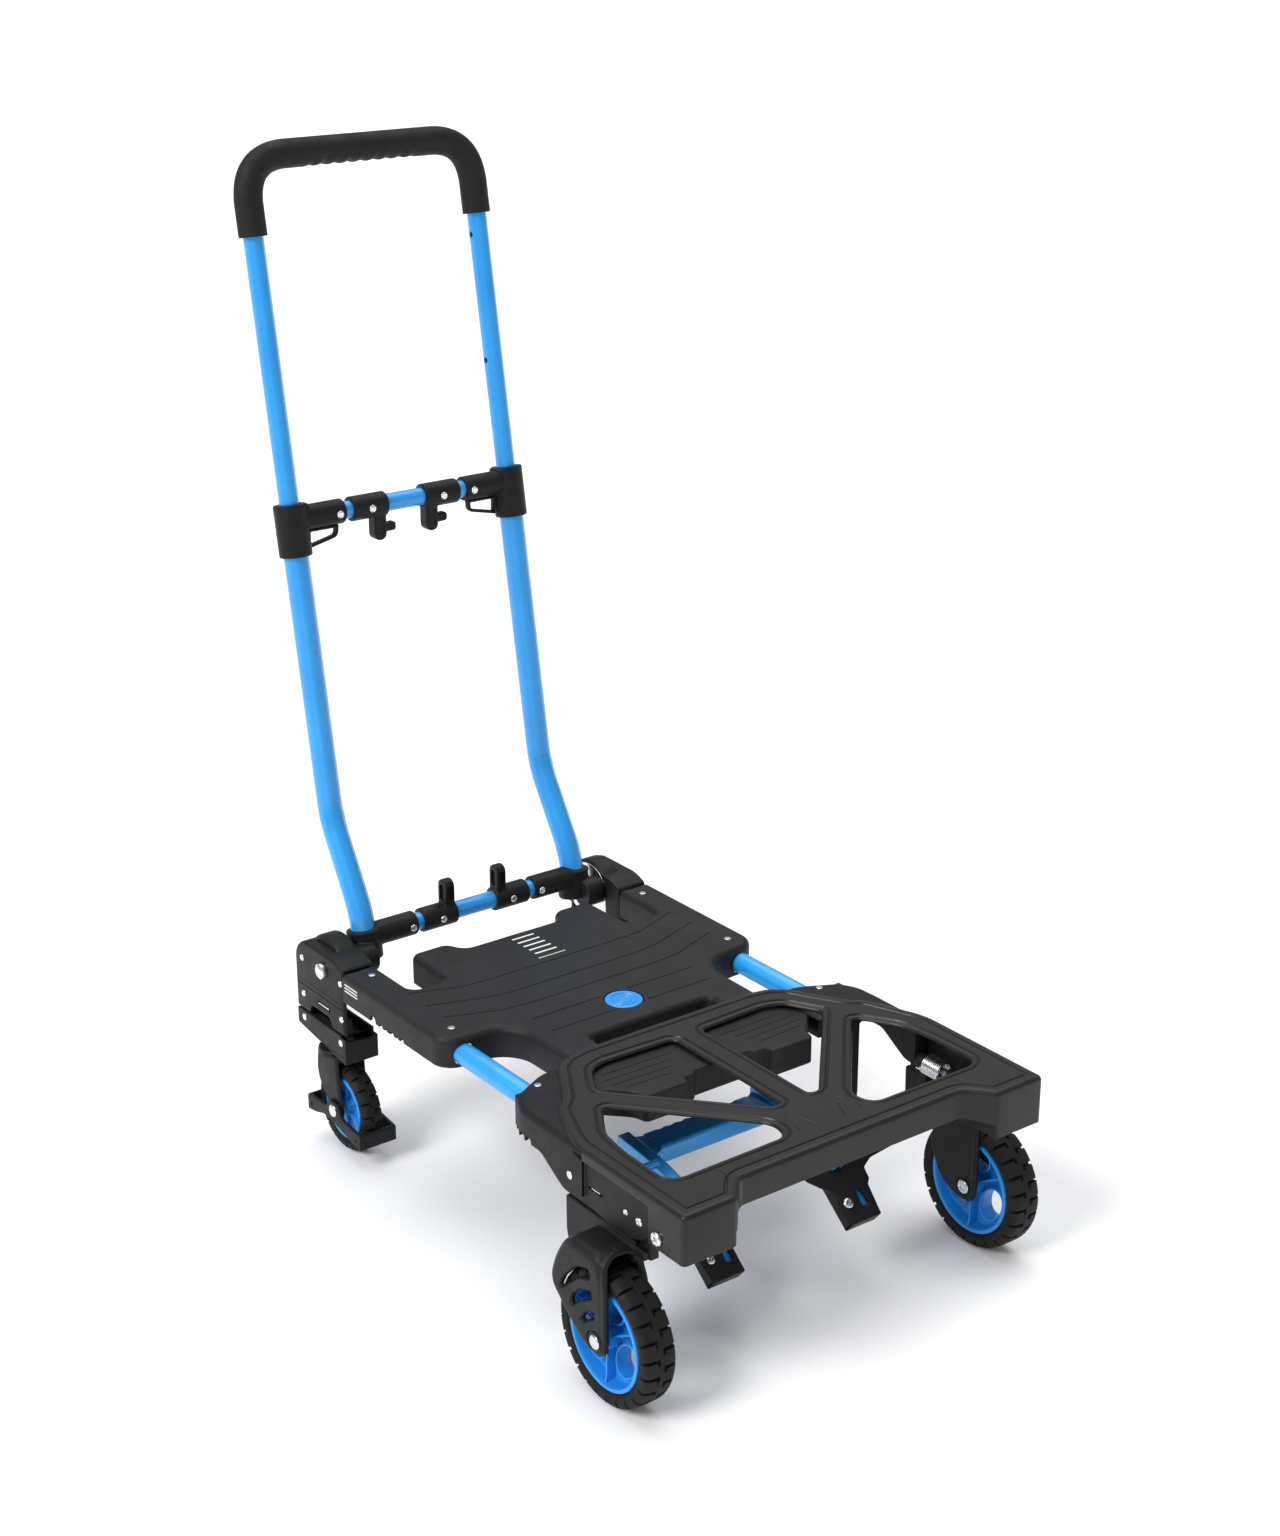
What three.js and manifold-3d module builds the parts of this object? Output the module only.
// Folding platform cart: a slatted deck on two large front wheels and two swivel casters, with a
// telescopic handle. Millimetres. +Z is up, +Y points to the handle end, and left is the -X side.

import * as THREE from 'three';
import { mergeVertices } from 'three/addons/utils/BufferGeometryUtils.js';
import Module from 'manifold-3d';

const wasm = await Module();
wasm.setup();

// Driving dimensions ------------------------------------------------------------------------------

const gap = 0.4; // running gap between neighbouring pieces
const originShiftY = 2.4; // puts the origin under the middle of the whole cart

const deckTop = 206.5;
const deckBottom = 175.5;
const deckHalfWidth = 187;
const skin = 3.5; // wall of the moulded shells
const tongueTop = 203.8; // part of the deck that reaches under the toe plate
const tongueBottom = 177;
const deckTube = { x: 165, z: 188, radius: 10.5, front: -178, rear: 138 };
const button = { y: -47.4, radius: 18.5, stem: 6 };

const pivot = { y: 201, z: 195, radius: 5 }; // the handle folds about this line
const bracket = { outer: 186, inner: 150, front: 163.7, rear: 257, bottom: 136, top: 215 };

const toe = { top: 210, thickness: 3, halfWidth: 204, front: -403, pivotY: -368, pivotZ: 174 };
const saddle = { outer: 201, bottom: 152, front: -352 };

const lean = new THREE.Vector3(0, 0.1714, 0.9852); // direction of the handle's straight tubes
const uprightX = 127.5;
const upright = { radius: 12.5, bore: 10.5, top: 600, bendTop: 320, bendBottom: 236 };
const slider = { radius: 10, bottom: 592, top: 959.5, cornerRadius: 46 };
const grip = { radius: 14, bottom: 886 };
const clampZ = { bottom: 582, top: 633 };
const lowerBar = { y: 214, z: 211.6 };
const upperBarZ = 618;
const barRadius = 9;
const sleeveRadius = 12.5;

const frontWheel = { x: 212, y: -323, radius: 63.5, halfWidth: 16.5, rim: 49 };
const frontFold = { x: 187, z: 172 }; // the front wheels fold about lines along Y
const rearWheel = { x: 169, y: 187, radius: 46, halfWidth: 11, rim: 33.5 };
const swivelY = 207;
const rearFold = { x: 177, z: 130, pin: 3 };
const casterBlock = { inner: 148, rear: 252.4, top: 134.6 };
const lever = { y: -206, z: 128 };

// Materials ---------------------------------------------------------------------------------------

const finish = (color, roughness, metalness = 0) =>
  new THREE.MeshStandardMaterial({ color, roughness, metalness });
const deckPlastic = finish(0x2a2b2d, 0.75);
const toePlastic = finish(0x34312e, 0.5);
const blackPlastic = finish(0x1d1d1e, 0.6);
const bluePaint = finish(0x2e8fe8, 0.35, 0.1);
const bluePlastic = finish(0x1a73d9, 0.45);
const tyreRubber = finish(0x1b1a19, 0.85);
const gripRubber = finish(0x191919, 0.8);
const zinc = finish(0xc4c8cc, 0.3, 1);

// Solids ------------------------------------------------------------------------------------------

// A closed geometry as a manifold-3d solid, its faces turned outwards.
function solid(geometry) {
  const bare = geometry.clone();
  bare.deleteAttribute('normal');
  bare.deleteAttribute('uv');
  const merged = mergeVertices(bare, 1e-3);
  const p = merged.attributes.position.array;
  const corner = (i) => new THREE.Vector3().fromArray(p, 3 * i);
  const triangles = [];
  let volume = 0;
  for (let i = 0; i < merged.index.count; i += 3) {
    const [a, b, c] = merged.index.array.slice(i, i + 3);
    if (a === b || b === c || c === a) continue;
    triangles.push([a, b, c]);
    volume += corner(a).dot(corner(b).cross(corner(c)));
  }
  const triVerts = Uint32Array.from(triangles.flatMap((t) => (volume < 0 ? t.reverse() : t)));
  return new wasm.Manifold(new wasm.Mesh({ numProp: 3, vertProperties: p, triVerts }));
}

function geometryOf(body) {
  const mesh = body.getMesh();
  const geometry = new THREE.BufferGeometry();
  geometry.setAttribute('position', new THREE.BufferAttribute(mesh.vertProperties, 3));
  geometry.setIndex(new THREE.BufferAttribute(mesh.triVerts, 1));
  geometry.computeVertexNormals();
  return geometry;
}

const join = (first, ...others) => others.reduce((sum, other) => sum.add(other), first);
const cut = (first, ...others) => others.reduce((rest, other) => rest.subtract(other), first);
const mirrored = (body) => solid(geometryOf(body).scale(-1, 1, 1));

function box(x0, x1, y0, y1, z0, z1) {
  const geometry = new THREE.BoxGeometry(x1 - x0, y1 - y0, z1 - z0);
  return solid(geometry.translate((x0 + x1) / 2, (y0 + y1) / 2, (z0 + z1) / 2));
}

// A closed outline whose points are [a, b] or, for a rounded corner, [a, b, radius]. A radius
// gives way where the edge beside it is short.
function outline(points) {
  const shape = new THREE.Shape();
  points.forEach(([a, b, radius = 0], i) => {
    const corner = new THREE.Vector2(a, b);
    const before = new THREE.Vector2(...points.at(i - 1)).sub(corner);
    const after = new THREE.Vector2(...points[(i + 1) % points.length]).sub(corner);
    const reach = Math.min(radius, 0.45 * before.length(), 0.45 * after.length());
    const start = corner.clone().add(before.setLength(reach));
    const end = corner.clone().add(after.setLength(reach));
    if (i === 0) shape.moveTo(start.x, start.y);
    else shape.lineTo(start.x, start.y);
    if (reach > 0) shape.quadraticCurveTo(a, b, end.x, end.y);
  });
  return shape;
}

function extruded(points, depth) {
  return new THREE.ExtrudeGeometry(outline(points), { depth, curveSegments: 3, bevelEnabled: false });
}

// Outlines extruded along Z, X and Y: slab takes [x, y] points, side [y, z] and facing [x, z].
const slab = (points, z0, z1) => solid(extruded(points, z1 - z0).translate(0, 0, z0));

function side(points, x0, x1) {
  const turn = new THREE.Matrix4().set(0, 0, 1, x0, 1, 0, 0, 0, 0, 1, 0, 0, 0, 0, 0, 1);
  return solid(extruded(points, x1 - x0).applyMatrix4(turn));
}

const facing = (points, y0, y1) =>
  solid(extruded(points, y1 - y0).rotateX(Math.PI / 2).translate(0, y1, 0));

// The outline moved inwards by a distance, corner by corner, for a clockwise or other outline.
function inset(points, distance) {
  const turning = Math.sign(THREE.ShapeUtils.area(points.map(([a, b]) => ({ x: a, y: b }))));
  return points.map(([a, b, radius = 0], i) => {
    const [pa, pb] = points.at(i - 1);
    const [na, nb] = points[(i + 1) % points.length];
    const before = new THREE.Vector2(a - pa, b - pb).normalize();
    const after = new THREE.Vector2(na - a, nb - b).normalize();
    const push = new THREE.Vector2(-before.y - after.y, before.x + after.x);
    push.multiplyScalar((turning * distance) / (1 + before.dot(after)));
    return [a + push.x, b + push.y, Math.max(radius - distance, 0)];
  });
}

// A whole outline from its right half, listed from the rear to the front.
const bothHalves = (half) => [...half, ...half.map(([x, y, r]) => [-x, y, r]).reverse()];

function rod(from, to, radius, sides = radius < 7 ? 12 : 16) {
  const start = new THREE.Vector3(...from);
  const along = new THREE.Vector3(...to).sub(start);
  const geometry = new THREE.CylinderGeometry(radius, radius, along.length(), sides);
  geometry.translate(0, along.length() / 2, 0);
  const turn = new THREE.Quaternion().setFromUnitVectors(
    new THREE.Vector3(0, 1, 0),
    along.clone().normalize(),
  );
  return solid(geometry.applyQuaternion(turn).translate(start.x, start.y, start.z));
}

const rodX = (x0, x1, y, z, radius, sides) => rod([x0, y, z], [x1, y, z], radius, sides);
const rodY = (y0, y1, x, z, radius, sides) => rod([x, y0, z], [x, y1, z], radius, sides);

// A profile of [radius, x] points turned about the X axis through the origin.
function turned(profile, sides = 28) {
  const points = profile.map(([radius, x]) => new THREE.Vector2(radius, x));
  return solid(new THREE.LatheGeometry(points, sides).rotateZ(-Math.PI / 2));
}

// A path through the given points exactly as listed.
class Route extends THREE.Curve {
  constructor(points) {
    super();
    this.points = points;
  }

  getPoint(t) {
    const place = t * (this.points.length - 1);
    const i = THREE.MathUtils.clamp(Math.floor(place), 0, this.points.length - 2);
    return this.points[i].clone().lerp(this.points[i + 1], place - i);
  }

  getPointAt(t) {
    return this.getPoint(t);
  }

  getTangentAt(t) {
    return this.getTangent(t);
  }
}

// A round tube along corner points, each inner corner rounded to the given bend length.
function bentRod(corners, bend, radius, { sides = 12, steps = 6 } = {}) {
  const points = [corners[0]];
  for (let i = 1; i < corners.length - 1; i++) {
    const towards = (other) =>
      other.clone().sub(corners[i]).setLength(bend).add(corners[i]);
    const arc = new THREE.QuadraticBezierCurve3(
      towards(corners[i - 1]), corners[i], towards(corners[i + 1]),
    );
    points.push(...arc.getPoints(steps));
  }
  points.push(corners.at(-1));
  const ring = new THREE.Shape().absarc(0, 0, radius, 0, 2 * Math.PI);
  const path = new Route(points);
  return solid(new THREE.ExtrudeGeometry(ring, {
    steps: points.length - 1, curveSegments: sides / 2, extrudePath: path,
  }));
}

// The cart's scene graph --------------------------------------------------------------------------

const cart = new THREE.Group();
cart.position.y = originShiftY;

function add(name, body, material, position = [0, 0, 0]) {
  const mesh = new THREE.Mesh(geometryOf(body), material);
  mesh.name = name;
  mesh.position.set(...position);
  cart.add(mesh);
}

// A left piece and its mirror image on the right.
function addPair(name, left, material, [x, y, z] = [0, 0, 0]) {
  add(`${name}_left`, left, material, [-x, y, z]);
  add(`${name}_right`, mirrored(left), material, [x, y, z]);
}

// A point on the straight part of the left upright at a height.
function onUpright(z, x = -uprightX) {
  return new THREE.Vector3(x, 318.8 + ((z - 582.5) * lean.y) / lean.z, z);
}

// Deck --------------------------------------------------------------------------------------------

function deckShell() {
  const stepY = -113;
  const main = bothHalves([
    [56, 142.5, 6], [66, 163.2, 6], [109, 163.2, 7], [110.5, 92, 8], [150, 92, 8],
    [150, 163.2], [deckHalfWidth, 163.2], [deckHalfWidth, -8, 12], [176, -21, 8], [130, -24, 12],
    [113, -44, 14], [112, stepY],
  ]);
  const tongue = bothHalves([
    [112, stepY + 8], [112, -126], [131, -140, 4], [131, -166, 5], [98, -196, 8], [95, -212, 5],
    [34, -212, 4], [32, -200, 3],
  ]);
  const insideMain = slab(inset(main, skin), deckBottom - 1, deckTop - skin);
  const insideTongue = slab(inset(tongue, skin), tongueBottom - 1, tongueTop - skin);
  const handHole = slab(bothHalves([[71, -88, 6], [71, -117.5, 6]]), 160, 210);
  const tubeHole = (x) => rodY(-40, 20, x, deckTube.z, deckTube.radius + gap);
  const openRailEnd = box(-183.5, -153.5, 150, 170, 160, deckTop - skin);
  return cut(
    join(slab(main, deckBottom, deckTop), slab(tongue, tongueBottom, tongueTop)),
    insideMain, insideTongue, handHole,
    tubeHole(deckTube.x), tubeHole(-deckTube.x),
    openRailEnd, mirrored(openRailEnd),
    rod([0, button.y, 195], [0, button.y, 215], button.radius + gap, 24),
  );
}

function rearBracket() {
  const face = [
    [bracket.front, bracket.bottom], [bracket.front, deckTop, 3], [180, bracket.top, 8],
    [bracket.rear, bracket.top, 26], [bracket.rear, bracket.bottom],
  ];
  const hollow = [
    [bracket.front - 1, bracket.bottom - 1], [bracket.front - 1, deckTop - 4],
    [180, bracket.top - 4, 4], [bracket.rear - 4, bracket.top - 4, 22],
    [bracket.rear - 4, bracket.bottom - 1],
  ];
  const shell = cut(
    side(face, -bracket.outer, -bracket.inner),
    side(hollow, -bracket.outer + 4, -bracket.inner - 4),
    box(-bracket.inner - 5, -bracket.inner + 1, 150, 270, 130, 163), // room for the folding caster
  );
  const lug = (y0, y1) => join(
    box(-bracket.outer + 1, -172, y0, y1, bracket.bottom, 148),
    box(-181.8, -172.2, y0, y1, rearFold.z, bracket.bottom),
    rodY(y0, y1, -rearFold.x, rearFold.z, 4.8),
  );
  return cut(
    join(shell, lug(172, 176), lug(240, 244)),
    rodX(-190, -140, pivot.y, pivot.z, pivot.radius + gap),
    rodY(150, 270, -rearFold.x, rearFold.z, rearFold.pin + gap),
  );
}

add('deck_shell', deckShell(), deckPlastic);
addPair('deck_tube', rodY(deckTube.front, deckTube.rear, -deckTube.x, deckTube.z, deckTube.radius),
  bluePaint);
addPair('rear_bracket', rearBracket(), blackPlastic);
addPair('handle_pivot_bolt', join(
  rodX(-188.5, -133, pivot.y, pivot.z, pivot.radius),
  rodX(-190, -186.4, pivot.y, pivot.z, 8.5),
), zinc);
add('release_button', join(
  rod([0, button.y, 203.2], [0, button.y, 206.7], button.radius, 24),
  rod([0, button.y, 188], [0, button.y, 204], button.stem),
), bluePlastic);

// Front frame and toe plate -----------------------------------------------------------------------

function frontSaddle() {
  const top = [
    [-119, -121, 2], [-150, -121, 10], [-190, -142, 8], [-200, -161, 8], [-saddle.outer, -185],
    [-saddle.outer, saddle.front], [-186, saddle.front], [-186, -245], [-134, -205], [-119, -190],
  ];
  const outerFace = [
    [-150, 204.5], [-150, 184, 4], [-160, 176.5, 4], [-196, 176.5, 4], [-230, 156, 6],
    [-280, 155.5, 6], [-300, saddle.bottom, 6], [-325, saddle.bottom, 6], [-345, 160],
    [saddle.front, 168], [saddle.front, 204.5],
  ];
  const lug = (y0, y1) => box(-198, -179.5, y0, y1, 165, 205.5);
  return cut(
    join(
      slab(top, deckTop - 2, deckTop),
      side(outerFace, -saddle.outer, -saddle.outer + 4),
      box(-199, -135, -176, -141, 175, deckTop - 1), // block that runs on the deck tube
      box(-198, -186, -382, -348.5, 166, 200), // ear of the toe plate's hinge
      lug(-261, -256), lug(-353, -348),
      box(-153, -119, lever.y - 8, lever.y + 8, lever.z - 7, lever.z + 9), // hanger of the lever
      box(-153, -145, lever.y - 8, lever.y + 8, lever.z, deckTop - 1),
    ),
    rodY(-240, -130, -deckTube.x, deckTube.z, deckTube.radius + gap),
    rodY(-360, -250, -frontFold.x, frontFold.z, 4 + gap),
    rodX(-210, -180, toe.pivotY, toe.pivotZ, 4 + gap),
    rodX(-150, -110, lever.y, lever.z, 4 + gap),
  );
}

function toePlate() {
  const plate = bothHalves([
    [96, -111, 4], [121, -116, 8], [136, -128, 6], [146, -146, 6], [166, -179, 6], [180, -191, 8],
    [193, -222, 8], [toe.halfWidth, -250, 12], [toe.halfWidth, toe.front, 3], [148, toe.front, 3],
    [127.5, -379, 6],
  ]);
  const rearWindow = [
    [16, -146, 6], [95, -143, 6], [112, -150, 5], [131, -184, 6], [124, -193, 6], [26, -301, 6],
    [16, -300, 6],
  ];
  const frontWindow = [
    [145, -211, 6], [170, -251, 6], [175, -284, 8], [176, -340, 7], [166, -348, 6], [50, -347, 10],
    [45, -324, 10],
  ];
  const windows = [rearWindow, frontWindow].flatMap((points) => {
    const hole = slab(points, 190, 220);
    return [hole, mirrored(hole)];
  });
  const bottom = toe.top - toe.thickness;
  const corner = cut(
    box(-toe.halfWidth, -148, toe.front, -355, 163, toe.top - 1),
    box(-toe.halfWidth + 2.5, -151.5, toe.front + skin, -350, 160, bottom),
    box(-152, -140, -379 + 0.1, -350, 160, bottom),
    rodX(-210, -195, toe.pivotY, toe.pivotZ, 4 + gap),
  );
  const flange = box(-128, 128, -379, -379 + skin, 182, toe.top - 1);
  const slope = facing([[-152, 176], [-152, toe.top - 1], [-126, toe.top - 1], [-126, 182]],
    -382, -378.8);
  return cut(
    join(slab(plate, bottom, toe.top), corner, mirrored(corner), flange, slope, mirrored(slope)),
    ...windows,
  );
}

addPair('front_saddle', frontSaddle(), blackPlastic);
add('front_beam', cut(box(-185.5, 185.5, -372, -354, 184, 200), box(-190, 190, -369, -350, 187, 197)),
  blackPlastic);
addPair('toe_hinge_bolt', join(
  rodX(-206, -184, toe.pivotY, toe.pivotZ, 4),
  rodX(-207.5, -204.4, toe.pivotY, toe.pivotZ, 6.5),
), zinc);
add('toe_plate', toePlate(), toePlastic);

// Handle, lower part ------------------------------------------------------------------------------

const uprightLow = [
  new THREE.Vector3(-128.3, 216, 206), new THREE.Vector3(-128.3, 221.5, upright.bendBottom),
  onUpright(upright.bendTop),
];

function lowerUpright() {
  const tube = bentRod([...uprightLow, onUpright(upright.top)], 18, upright.radius, { sides: 16 });
  const bore = rod(onUpright(340).toArray(), onUpright(640).toArray(), upright.bore);
  return cut(tube, bore);
}

function tSocket() {
  const cupBottom = [-128.3, 213, 188];
  const cupTop = [-128.3, 218.3, 219];
  const reach = 40;
  return cut(
    join(
      rod(cupBottom, cupTop, 17, 20),
      rodX(-128.3, -72, lowerBar.y, lowerBar.z, sleeveRadius, 20),
      rodX(-149.5, -128.3, pivot.y, pivot.z, 15, 20),
    ),
    rod([-128.3, 216 - 0.1, 205.4], [-128.3, 216 + reach * 0.183, 205.4 + reach],
      upright.radius + gap),
    rodX(-114, -60, lowerBar.y, lowerBar.z, barRadius + gap),
    rodX(-160, -132, pivot.y, pivot.z, pivot.radius + gap),
  );
}

function sleeve(y, z, x0, x1, extra) {
  return cut(join(rodX(x0, x1, y, z, sleeveRadius, 20), extra),
    rodX(x0 - 5, x1 + 5, y, z, barRadius + gap));
}

function fin() {
  const [back, front] = [lowerBar.y + 8, lowerBar.y - 8];
  const top = lowerBar.z + 37.5;
  return side([[front, lowerBar.z, 0], [front, top, 7], [back, top, 7], [back, lowerBar.z, 0]],
    -37, -26);
}

function clampBlock() {
  const foot = onUpright(clampZ.bottom);
  const head = onUpright(clampZ.top);
  const bar = onUpright(upperBarZ);
  const slot = box(-106, -76, bar.y - 3.6, bar.y + 3.6, 600, 608.6);
  return cut(
    join(
      rod(foot.toArray(), head.toArray(), 16.5, 20),
      rodX(-uprightX, -72, bar.y, bar.z, sleeveRadius, 20),
    ),
    rod(onUpright(570).toArray(), onUpright(upright.top + 0.5).toArray(), upright.radius + gap),
    rod(onUpright(590).toArray(), onUpright(650).toArray(), slider.radius + gap),
    rodX(-112.5, -60, bar.y, bar.z, barRadius + gap),
    slot,
  );
}

// A hook plate below the sleeve, with a finger that points to +X.
function hook(x0) {
  const { y, z } = onUpright(upperBarZ);
  return join(
    facing([[x0, z], [x0, z - 34, 6], [x0 + 15, z - 34, 6], [x0 + 15, z]], y - 7, y + 7),
    box(x0 + 8, x0 + 25, y - 5, y + 5, z - 27.5, z - 18.5),
  );
}

const upperBar = onUpright(upperBarZ);
addPair('t_socket', tSocket(), blackPlastic);
addPair('lower_upright', lowerUpright(), bluePaint);
add('lower_crossbar', rodX(-112, 112, lowerBar.y, lowerBar.z, barRadius), bluePaint);
addPair('fin_sleeve', sleeve(lowerBar.y, lowerBar.z, -64, -24, fin()), blackPlastic);
addPair('clamp', clampBlock(), blackPlastic);
add('upper_crossbar', rodX(-112, 112, upperBar.y, upperBar.z, barRadius), bluePaint);
add('hook_sleeve_left', sleeve(upperBar.y, upperBar.z, -64, -22, hook(-38)), blackPlastic);
add('hook_sleeve_right', sleeve(upperBar.y, upperBar.z, 22, 64, hook(24)), blackPlastic);

// Finger loop that releases the telescopic tube, in the slot below the clamp's arm.
function releaseLoop() {
  const [near, far, high, low] = [-77, -105, 605.2, 586];
  const frame = facing([[near, high], [near, low, 5], [far, low, 9], [far, high]],
    upperBar.y - 3, upperBar.y + 3);
  const finger = facing(
    [[near - 4, high - 4], [near - 4, low + 4, 3], [far + 4, low + 4, 6], [far + 4, high - 4]],
    upperBar.y - 5, upperBar.y + 5);
  return cut(frame, finger);
}
addPair('release_loop', releaseLoop(), blackPlastic);

// Handle, upper part ------------------------------------------------------------------------------

const hoop = (bottom) => [
  onUpright(bottom), onUpright(slider.top), onUpright(slider.top, uprightX),
  onUpright(bottom, uprightX),
];
add('handle_tube', bentRod(hoop(slider.bottom), slider.cornerRadius, slider.radius), bluePaint);
add('handle_grip', cut(
  bentRod(hoop(grip.bottom), slider.cornerRadius, grip.radius, { sides: 16 }),
  bentRod(hoop(grip.bottom - 20), slider.cornerRadius, slider.radius + 0.8),
), gripRubber);

// Wheels ------------------------------------------------------------------------------------------

// A rubber tyre and its rim on a bore, both closed rings about the X axis.
function tyre({ radius, halfWidth, rim }) {
  return turned([
    [rim + gap, -halfWidth + 3], [radius - 8, -halfWidth], [radius - 2, -halfWidth + 3],
    [radius, -halfWidth + 7], [radius, halfWidth - 7], [radius - 2, halfWidth - 3],
    [radius - 8, halfWidth], [rim + gap, halfWidth - 3], [rim + gap, -halfWidth + 3],
  ]);
}

// A spoked rim: barrel, web and hub. The window is an oval opening between two spokes.
function rim({ rim: radius, halfWidth }, bore, windows) {
  const edge = halfWidth - 2;
  const body = turned([
    [bore, -halfWidth + 1], [bore + 5, -halfWidth + 1], [bore + 5, -3], [radius - 5, -3],
    [radius - 3, -edge], [radius, -edge], [radius, edge], [radius - 3, edge], [radius - 5, 3],
    [bore + 5, 3], [bore + 5, halfWidth - 1], [bore, halfWidth - 1], [bore, -halfWidth + 1],
  ]);
  const middle = (radius + bore) / 2;
  const size = (radius - bore) / 2 - 10;
  return windows.reduce((rest, turn) => {
    const opening = new THREE.CylinderGeometry(size, size, 10, 12);
    opening.rotateZ(Math.PI / 2).scale(1, 1.5, 1).translate(0, 0, middle).rotateX(turn);
    return cut(rest, solid(opening));
  }, body);
}

// Front wheels with their folding forks -----------------------------------------------------------

const thirds = [0, 1, 2].map((i) => (i * 2 * Math.PI) / 3);
const axleRadius = 5;

function frontFork() {
  const { y, radius: z } = frontWheel;
  const cheek = (low, [x0, x1]) => side([
    [y - 15, z + 73, 4], [y - 15, z - 14, 8], [y + 14, z - 14, 8], [y + 34, z - 2, 8],
    [low, z + 28, 8], [low - 4, z + 45, 8], [low - 25, z + 73, 8],
  ], x0, x1);
  return cut(
    join(
      cheek(y + 68, [-236, -232.5]),
      cheek(y + 48, [-194, -190.5]),
      side([[y - 22, 128], [y - 22, 138, 4], [y + 43, 138, 8], [y + 64, 111, 6], [y + 68, 92, 3],
        [y + 64, 92], [y + 59, 110, 4], [y + 39, 133, 6], [y - 20, 133]], -236, -201.4),
      box(-202, -190.5, y - 22, y + 22, 133, 138),
    ),
    rodX(-240, -190, y, z, axleRadius + gap),
    box(-232.5, -201.4, y - 14, y + 14, 100, 130),
  );
}

function foldBlock() {
  const barrel = (y0, y1) => rodY(y0, y1, -frontFold.x, frontFold.z, 8);
  return cut(
    join(
      barrel(-270, -261.6), barrel(-347.6, -302),
      box(-216, -186, -345, -262, 138.6, 147.5), // shoulder over the fork
      side([[-347, 138.6], [-347, 170], [-302, 170], [-302, 150], [-270, 150], [-270, 170],
        [-262, 170], [-262, 138.6]], -195, -186),
      side([[-345, 138.6], [-345, 151.3], [-232, 151.3, 3], [-232, 108, 8], [-250, 104, 4],
        [-250, 138.6]], -201, -194), // side plate that carries on below the saddle
    ),
    rodY(-360, -250, -frontFold.x, frontFold.z, 4 + gap),
  );
}

addPair('fold_block', foldBlock(), blackPlastic);
addPair('fold_hinge_pin', rodY(-354, -255, -frontFold.x, frontFold.z, 4), zinc);
addPair('fold_spring', cut(
  rodY(-301, -271, -frontFold.x, frontFold.z, 8),
  rodY(-310, -260, -frontFold.x, frontFold.z, 5.5),
), zinc);
addPair('front_fork', frontFork(), blackPlastic);
addPair('front_axle', rodX(-237.5, -189, frontWheel.y, frontWheel.radius, axleRadius), zinc);
const frontPlace = [frontWheel.x, frontWheel.y, frontWheel.radius];
addPair('front_rim', rim(frontWheel, axleRadius + gap, thirds), bluePlastic, frontPlace);
addPair('front_tyre', tyre(frontWheel), tyreRubber, frontPlace);

// Folding lever: a finger channel between the front wheels, with two shod arms ---------------------

function leverFrame() {
  const { y, z } = lever;
  const channel = cut(
    box(-72, 72, y - 5, y + 17, z - 18, z + 2),
    box(-80, 80, y - 2, y + 30, z - 15, z - 1),
  );
  const arm = side([[-160, 124], [-160, 133.5, 4], [-222, 127.5], [-277.4, 104.9], [-269.8, 95.7],
    [-222, 116]], -86, -70);
  return join(channel, arm, mirrored(arm), rodX(-118, 118, y, z, 4));
}

add('lever_frame', leverFrame(), bluePaint);
addPair('lever_shoe', side([
  [-279.8, 106.9], [-268.2, 93.1], [-281, 80], [-298, 62, 3], [-316, 67, 8], [-318, 92, 6],
  [-296, 108],
], -98, -63), blackPlastic);

// Rear casters ------------------------------------------------------------------------------------

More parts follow.
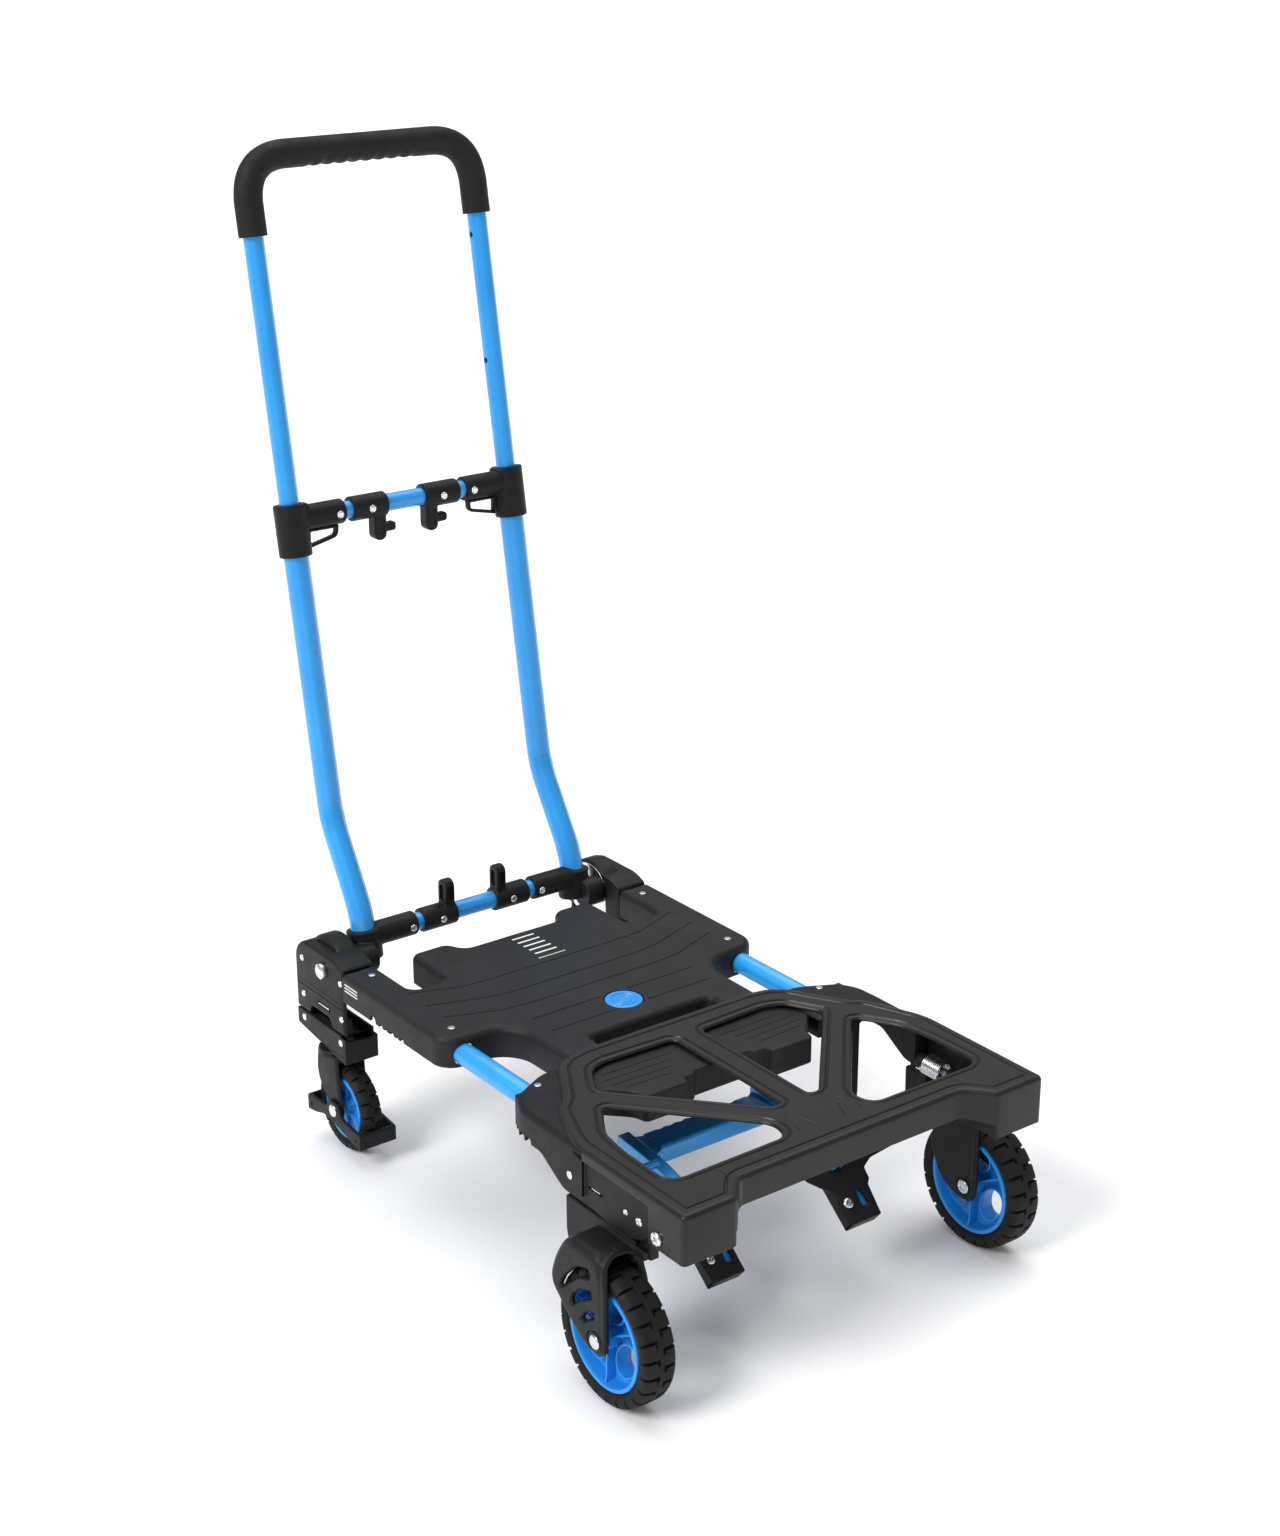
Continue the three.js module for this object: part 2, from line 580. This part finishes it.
// A tray whose floor slopes up to the rear, with the hinge pin between its end walls.
function casterBox() {
  const { inner, rear, top } = casterBlock;
  const block = side([[bracket.front, 104], [rear, 116.5], [rear, top], [bracket.front, top]],
    -bracket.outer, -inner);
  return join(
    cut(
      block,
      box(-bracket.outer + 3.7, -inner - 3, bracket.front + 4, rear - 4, 121, 140),
      rod([-rearWheel.x, swivelY, 95], [-rearWheel.x, swivelY, 115], 6 + gap),
    ),
    side([[rear - 4, 116], [bracket.rear - gap, 117], [bracket.rear - gap, top], [rear - 4, top]],
      -bracket.outer, -bracket.outer + 3.7),
    rodY(bracket.front + 2, rear - 2, -rearFold.x, rearFold.z, rearFold.pin),
  );
}

function casterFork() {
  const { x, y, radius: z } = rearWheel;
  const cheek = (x0, x1) => side([
    [y - 11, z - 10, 8], [y + 11, z - 10, 8], [y + 12, z + 6, 5], [y + 40, z + 40, 5],
    [y + 40, 105], [y + 2, 105], [y - 11, z + 8, 5],
  ], x0, x1);
  return cut(
    join(
      cheek(-186, -183), cheek(-155, -152),
      box(-186, -152, y + 2, y + 40, 95, 105),
      rod([-x, swivelY, 100], [-x, swivelY, 106.5], 20, 20),
      rod([-x, swivelY, 100], [-x, swivelY, 114], 6),
    ),
    rodX(-190, -150, y, z, 4 + gap),
  );
}

function brakePedal() {
  const { y, radius: z } = rearWheel;
  const arm = (x0, x1) => side([
    [y - 51, z - 24], [y - 51, z - 8, 3], [y - 12, z - 4], [y - 8, z + 9, 4], [y + 8, z + 9, 4],
    [y + 12, z - 2], [y + 51, z - 2, 3], [y + 51, z - 19],
  ], x0, x1);
  return cut(
    join(
      arm(-190, -186.5), arm(-151.5, -148),
      box(-190, -148, y - 51, y - 47, z - 24, z - 8),
      box(-190, -148, y + 47.5, y + 51, z - 19, z - 2),
    ),
    rodX(-200, -140, y, z, 4 + gap),
  );
}

const rearPlace = [rearWheel.x, rearWheel.y, rearWheel.radius];
addPair('caster_box', casterBox(), blackPlastic);
addPair('caster_fork', casterFork(), blackPlastic);
addPair('caster_axle', join(
  rodX(-191, -147, rearWheel.y, rearWheel.radius, 4),
  rodX(-192, -190.4, rearWheel.y, rearWheel.radius, 6.5),
), zinc);
addPair('rear_rim', rim(rearWheel, 4 + gap, []), bluePlastic, rearPlace);
addPair('rear_tyre', tyre(rearWheel), tyreRubber, rearPlace);
addPair('brake_pedal', brakePedal(), blackPlastic);

export default cart;
